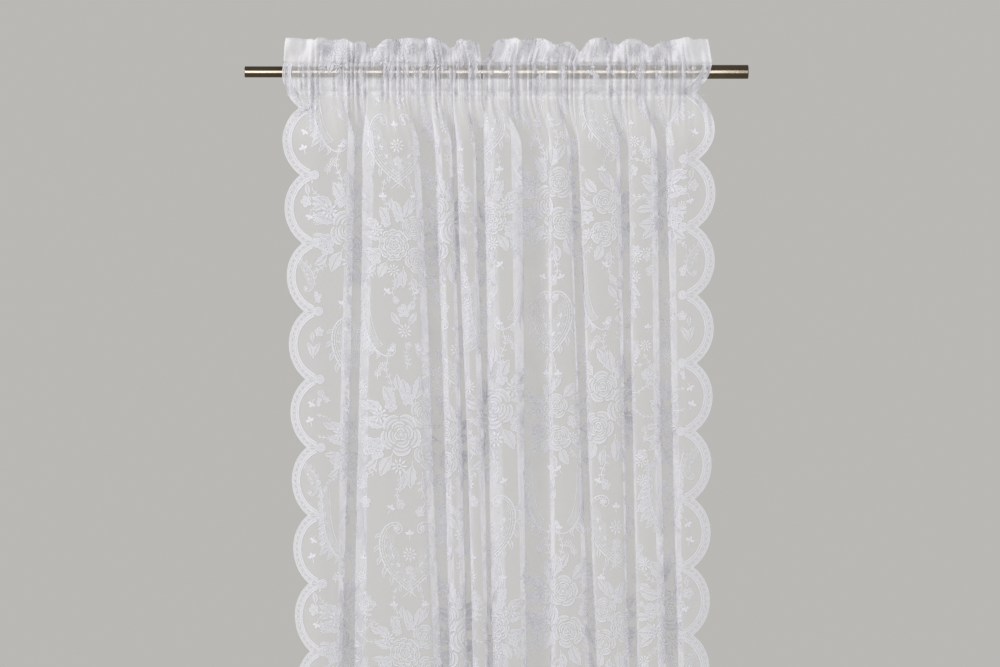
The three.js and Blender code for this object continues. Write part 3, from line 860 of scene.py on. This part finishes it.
def cloth_map(panel):
    """Places and normals of the hanging cloth over its flat plane."""
    front = np.concatenate([
        np.arange(HEM, POCKET_SEAM - 1, MAP_STEP_ALONG),
        np.linspace(POCKET_SEAM, HEADER_SEAM, MAP_POCKET_ROWS),
        np.linspace(HEADER_SEAM, HEADER_TOP, MAP_FRILL_ROWS)[1:],
    ])
    back = front[front >= POCKET_SEAM][::-1][1:]
    even = np.linspace(0, PANEL_WIDTH, int(PANEL_WIDTH / MAP_STEP_ACROSS) + 1)
    rows = [np.tile(even, (len(z), 1)) for z in (front, back)]
    points = np.concatenate([
        cloth_surface(panel, front, rows[0], -1), cloth_surface(panel, back, rows[1], 1)
    ])
    normals = np.cross(np.gradient(points, axis=1), np.gradient(points, axis=0))
    normals /= np.linalg.norm(normals, axis=2)[..., None]
    v = np.concatenate([front - HEM, 2 * PANEL_LENGTH - (back - HEM)])
    return Cloth(v, points, normals)


def laid(cloth, flat, lift):
    """Flat points laid on the hanging cloth, lifted off its face."""
    rows, columns = cloth.points.shape[:2]
    row = np.clip(np.interp(flat[:, 1], cloth.v, np.arange(rows)), 0, rows - 1.001)
    column = np.clip(flat[:, 0] / PANEL_WIDTH * (columns - 1), 0, columns - 1.001)
    i, j = row.astype(int), column.astype(int)
    s, t = (row - i)[:, None], (column - j)[:, None]
    out = []
    for grid in (cloth.points, cloth.normals):
        low = blend(grid[i, j], grid[i, j + 1], t)
        high = blend(grid[i + 1, j], grid[i + 1, j + 1], t)
        out.append(blend(low, high, s))
    return out[0] + out[1] * lift[:, None]


def build_lace(name, cloth, motif, materials):
    """A mesh of thread work laid on the cloth, without unused points."""
    used, faces = np.unique(motif.faces, return_inverse=True)
    faces = faces.reshape(-1, 3)
    flat = motif.points[used]
    points = laid(cloth, flat[:, :2], THREAD_LIFT + flat[:, 2])
    lace = make_object(name, points, faces, flat[:, :2], materials, motif.kinds)
    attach(lace, "root")
    return lace


def set_cover_and_painted_light(sheet, heights):
    """Stores at each point the share of light that the net stops there, with painted light added
    along the pocket seam.
    """
    gathered = GATHER_COVER * (1 - smooth_step((POCKET_SEAM - heights) / GATHERS_END))
    hemmed = HEM_COVER * (heights < HEM + HEM_BAND)
    pocketed = POCKET_COVER * ((heights < -OUTER_TUBE_RADIUS) & (heights > POCKET_SEAM))
    # Along the pocket seam the cover is raised: partly the seam's extra cloth, partly painted light
    # that brightens the shaded crease there.
    seam_cloth_and_painted_light = SEAM_CLOTH_AND_PAINTED_LIGHT * (np.abs(heights - POCKET_SEAM) < SEAM_HALF)
    cover = np.repeat(NET_COVER + gathered + hemmed + pocketed + seam_cloth_and_painted_light, COLUMNS)
    normals = np.empty(3 * len(cover), dtype=np.float32)
    sheet.data.vertex_normals.foreach_get("vector", normals)
    aside, ahead = np.abs(normals.reshape(-1, 3)[:, :2].T)
    facing = np.clip(ahead / np.maximum(np.hypot(aside, ahead), 1e-6), LEAST_FACING, 1)
    values = 1 - (1 - cover) ** (1 / facing**TURNED_COVER)
    stored = sheet.data.attributes.new("cloth_cover_and_painted_light", "FLOAT", "POINT")
    stored.data.foreach_set("value", values.astype(np.float32))


def build_sheet(panel, net):
    """One panel's whole cloth, from the hem over the frill's top to the back of the pocket."""
    drop = drop_heights(panel)
    pocket = np.linspace(POCKET_SEAM, HEADER_SEAM, POCKET_ROWS)[1:]
    frill = np.linspace(HEADER_SEAM, HEADER_TOP, FRILL_ROWS)[1:]
    front = np.concatenate([drop, pocket, frill])
    back = np.concatenate([drop[-1:], pocket, frill])[::-1]
    front_u = cloth_columns(panel, front)
    back_u = cloth_columns(panel, back)
    points = np.concatenate(
        [cloth_surface(panel, front, front_u, -1), cloth_surface(panel, back, back_u, 1)]
    )
    flat_v = np.concatenate([front - HEM, 2 * PANEL_LENGTH - (back - HEM)])
    flat_u = np.concatenate([front_u, back_u])
    flat = np.stack([flat_u, flat_v[:, None] + 0 * flat_u], axis=-1)
    faces = grid_faces(len(points), COLUMNS)
    points, flat = points.reshape(-1, 3), flat.reshape(-1, 2)
    sheet = make_object(f"lace_panel_{panel.name}", points, faces, flat, [net])
    set_cover_and_painted_light(sheet, np.concatenate([front, back]))
    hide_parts(f"panel_{panel.name}")
    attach(sheet, "root")
    return sheet


def set_inputs(tree, node, values):
    """Sets a node's inputs, each to a value or to another node's output."""
    for name, value in values.items():
        if isinstance(value, bpy.types.NodeSocket):
            tree.links.new(value, node.inputs[name])
        else:
            node.inputs[name].default_value = value


def new_node(tree, kind, values):
    """A shader node with its inputs set."""
    node = tree.nodes.new("ShaderNode" + kind)
    set_inputs(tree, node, values)
    return node


def new_material(name, colour, roughness):
    """A material with its node tree and shader."""
    material = bpy.data.materials.new(name)
    material.use_nodes = True
    tree = material.node_tree
    shader = tree.nodes["Principled BSDF"]
    set_inputs(tree, shader, {"Base Color": colour, "Roughness": roughness})
    return material, tree, shader


def math_node(tree, operation, first, second):
    """Output of a Math node on two numbers or outputs."""
    node = new_node(tree, "Math", {0: first, 1: second})
    node.operation = operation
    return node.outputs[0]


def net_threads(tree, cell):
    """Threads of a fine net on the cloth's flat plane: 1 on a thread, 0 in a hole."""
    place = new_node(tree, "UVMap", {})
    place.uv_map = "flat_cloth"
    cells = new_node(tree, "TexVoronoi", {
        "Scale": 1 / (cell * MM), "Randomness": 0.35, "Vector": place.outputs["UV"],
    })
    cells.voronoi_dimensions, cells.feature = "2D", "DISTANCE_TO_EDGE"
    ramp = new_node(tree, "MapRange", {
        "From Min": 0.05, "From Max": 0.22, "To Min": 1.0, "To Max": 0.0,
        "Value": cells.outputs["Distance"],
    })
    ramp.interpolation_type = "SMOOTHSTEP"
    return ramp.outputs["Result"]


def thread_relief(tree, threads, strength, height):
    """Bump of threads that stand off the cloth."""
    bump = new_node(tree, "Bump", {
        "Strength": strength, "Distance": height * MM, "Height": threads,
    })
    return bump.outputs["Normal"]


def net_material():
    """The sheer net: fine threads with open cells, closer where the cloth is gathered."""
    material, tree, shader = new_material("lace_net", NET_WHITE, 0.9)
    threads = net_threads(tree, NET_CELL)
    # The stored cover, which holds painted light along the pocket seam as well as the cloth's own
    # cover.
    cover = new_node(tree, "Attribute", {})
    cover.attribute_name = "cloth_cover_and_painted_light"
    share = math_node(tree, "ADD", math_node(tree, "MULTIPLY", threads, THREAD_COVER), HOLE_COVER)
    set_inputs(tree, shader, {
        "Sheen Weight": 0.25, "Sheen Roughness": 0.5,
        "Alpha": math_node(tree, "MULTIPLY", cover.outputs["Fac"], share),
        "Normal": thread_relief(tree, threads, 0.25, 0.2),
    })
    return material


def thread_material(name, alpha, pitch):
    """White cotton thread work, with its threads in bump and a little uneven cover."""
    material, tree, shader = new_material(name, LACE_WHITE, 0.75)
    threads = net_threads(tree, pitch)
    spread = math_node(tree, "MULTIPLY", threads, 1 - alpha)
    set_inputs(tree, shader, {
        "Sheen Weight": 0.3, "Sheen Roughness": 0.4,
        "Alpha": math_node(tree, "ADD", spread, alpha),
        "Normal": thread_relief(tree, threads, 0.5, 0.3),
    })
    return material


def rod_material():
    """Polished dark antique brass with faint wear and drawing marks along the tube."""
    material, tree, shader = new_material("rod_brass", (0.3, 0.235, 0.165, 1), 0.15)
    place = new_node(tree, "TexCoord", {}).outputs["Object"]
    stretch = new_node(tree, "Mapping", {"Scale": (12, 900, 900), "Vector": place})
    streaks = new_node(tree, "TexNoise", {"Detail": 4, "Vector": stretch.outputs["Vector"]})
    rough = new_node(tree, "MapRange", {
        "To Min": 0.1, "To Max": 0.2, "Value": streaks.outputs["Fac"],
    })
    patina = new_node(tree, "TexNoise", {"Scale": 14, "Detail": 6, "Vector": place})
    tint = new_node(tree, "ValToRGB", {"Fac": patina.outputs["Fac"]})
    dark, light = tint.color_ramp.elements
    dark.position, dark.color = 0.35, (0.25, 0.19, 0.13, 1)
    light.position, light.color = 0.7, (0.36, 0.29, 0.21, 1)
    set_inputs(tree, shader, {
        "Metallic": 1, "Coat Weight": 0.4, "Coat Roughness": 0.08,
        "Roughness": rough.outputs["Result"], "Base Color": tint.outputs["Color"],
    })
    return material


def build_rod_tube(name, node, radius, hidden, plain, material):
    """A closed tube along X from its hidden end to its plain one, which has a rounded rim."""
    facing = 1 if plain > hidden else -1
    turn = np.linspace(0, math.pi / 2, END_STEPS + 1)
    rim_x = plain - facing * END_ROUND * (1 - np.sin(turn))
    rim_r = radius - END_ROUND * (1 - np.cos(turn))
    profile = [(hidden, radius - TUBE_LIP), (hidden, radius), (hidden + facing * END_ROUND, radius),
               (plain - facing * 2 * END_ROUND, radius), *zip(rim_x, rim_r),
               (plain, radius * 0.5), (plain, 0.02)]
    angle = np.arange(ROD_SIDES) * 2 * math.pi / ROD_SIDES
    points = np.array([[x, r * math.sin(a), r * math.cos(a)] for x, r in profile for a in angle])
    faces = []
    for k in range(len(profile) - 1):
        for i in range(ROD_SIDES):
            j = (i + 1) % ROD_SIDES
            here, beyond = k * ROD_SIDES, (k + 1) * ROD_SIDES
            ring = [here + i, beyond + i, beyond + j, here + j]
            faces.append(ring[::facing])
    flat = np.stack([points[:, 0], np.tile(angle * radius, len(profile))], axis=1)
    tube = make_object(name, points, np.array(faces), flat, [material])
    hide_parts(node)
    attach(tube, "root")


def add_camera():
    """A camera that frames the curtain as the photograph does."""
    data = bpy.data.cameras.new("camera")
    data.sensor_width = SENSOR
    data.lens = SENSOR * CAMERA_AWAY / (PIXEL * IMAGE_WIDTH)
    data.clip_end = CLIP_END
    camera = new_object("camera", data)
    camera.location = (VIEW_X * MM, -CAMERA_AWAY * MM, VIEW_Z * MM)
    camera.rotation_euler = (math.pi / 2, 0, 0)
    bpy.context.scene.camera = camera


def add_lamp(name, location, target, size, power, colour=(1, 1, 1)):
    """A rectangular lamp, with places and sizes in metres."""
    data = bpy.data.lights.new(name, "AREA")
    data.shape = "RECTANGLE"
    data.size, data.size_y = size
    data.energy = power
    data.color = colour
    lamp = new_object(name, data)
    lamp.location = location
    lamp.rotation_euler = (Vector(target) - Vector(location)).to_track_quat("-Z", "Y").to_euler()
    lamp.visible_camera = False
    return lamp


def add_surround():
    """A pale grey surround with soft, even light and a darker reflection in the rod."""
    world = bpy.data.worlds.new("studio")
    bpy.context.scene.world = world
    world.use_nodes = True
    tree = world.node_tree
    seen = tree.nodes["Background"]
    set_inputs(tree, seen, {"Color": (0.487, 0.48, 0.46, 1), "Strength": 1})
    light = new_node(tree, "Background", {"Color": (0.975, 0.98, 1, 1), "Strength": 0.76})
    room = new_node(tree, "Background", {"Color": (0.19, 0.18, 0.16, 1)})
    path = new_node(tree, "LightPath", {})
    below = light
    for ray, shader in (("Is Glossy Ray", room), ("Is Camera Ray", seen)):
        below = new_node(tree, "MixShader", {
            "Fac": path.outputs[ray], 1: below.outputs[0], 2: shader.outputs[0],
        })
    set_inputs(tree, tree.nodes["World Output"], {"Surface": below.outputs[0]})


def add_lamps():
    """A key lamp, a weak fill, and a cool one that only reflections show."""
    add_lamp("key", (-2.9, -3.0, 1.5), (0, 0, -0.5), (1.2, 1.8), 92)
    add_lamp("fill", (2.4, -3.6, 0.2), (0, 0, -0.7), (1.4, 2.4), 14)
    cool = add_lamp("strip", (-0.98, -4.2, -0.3), (-0.98, 0, -0.3), (3.4, 3.2), 175, (0.78, 0.88, 1))
    cool.visible_diffuse = False


def add_floor():
    """A plain pale floor below the hem."""
    mesh = bpy.data.meshes.new("floor")
    half, low = FLOOR_SIZE / 2 * MM, (HEM - FLOOR_GAP) * MM
    corners = [(-half, -half, low), (half, -half, low), (half, half, low), (-half, half, low)]
    mesh.from_pydata(corners, [], [(0, 1, 2, 3)])
    material, tree, shader = new_material("floor_paint", (0.6, 0.6, 0.57, 1), 0.8)
    grain = new_node(tree, "TexNoise", {"Scale": 6}).outputs["Fac"]
    rough = new_node(tree, "MapRange", {"To Min": 0.75, "To Max": 0.85, "Value": grain})
    set_inputs(tree, shader, {"Roughness": rough.outputs["Result"]})
    mesh.materials.append(material)
    floor = new_object("floor", mesh)
    floor.visible_glossy = False


def main():
    scene = bpy.context.scene
    scene.view_settings.view_transform = "Standard"
    scene.cycles.transparent_max_bounces = 32
    net, brass = net_material(), rod_material()
    add_camera()
    add_surround()
    add_lamps()
    add_floor()
    build_rod_tube("rod_tube_outer", "rod_outer_tube", OUTER_TUBE_RADIUS, OUTER_TUBE_START,
                   ROD_HALF, brass)
    build_rod_tube("rod_tube_inner", "rod_inner_tube", INNER_TUBE_RADIUS, INNER_TUBE_END,
                   -ROD_HALF, brass)
    threads = [thread_material("lace_cord", 0.9, 0.9),
               thread_material("lace_cloth_stitch", 0.42, 1.1),
               thread_material("lace_lattice", 0.7, 0.8)]
    bouquets, scrollwork = flower_column(), raised(scroll_column(), SCROLLS_OVER)
    for panel in (LEFT, RIGHT):
        sheet = build_sheet(panel, net)
        cloth = cloth_map(panel)
        edging = joined([border_design(panel), seam_design(HEADER_SEAM - HEM),
                         seam_design(POCKET_SEAM - HEM), seam_design(HEM_BAND)])
        designs = [("flowers", ground_design(panel, bouquets)),
                   ("scrolls", ground_design(panel, scrollwork)), ("border", edging)]
        flowers, scrolls, border = [
            build_lace(f"lace_{name}_{panel.name}", cloth, design, threads)
            for name, design in designs
        ]


main()
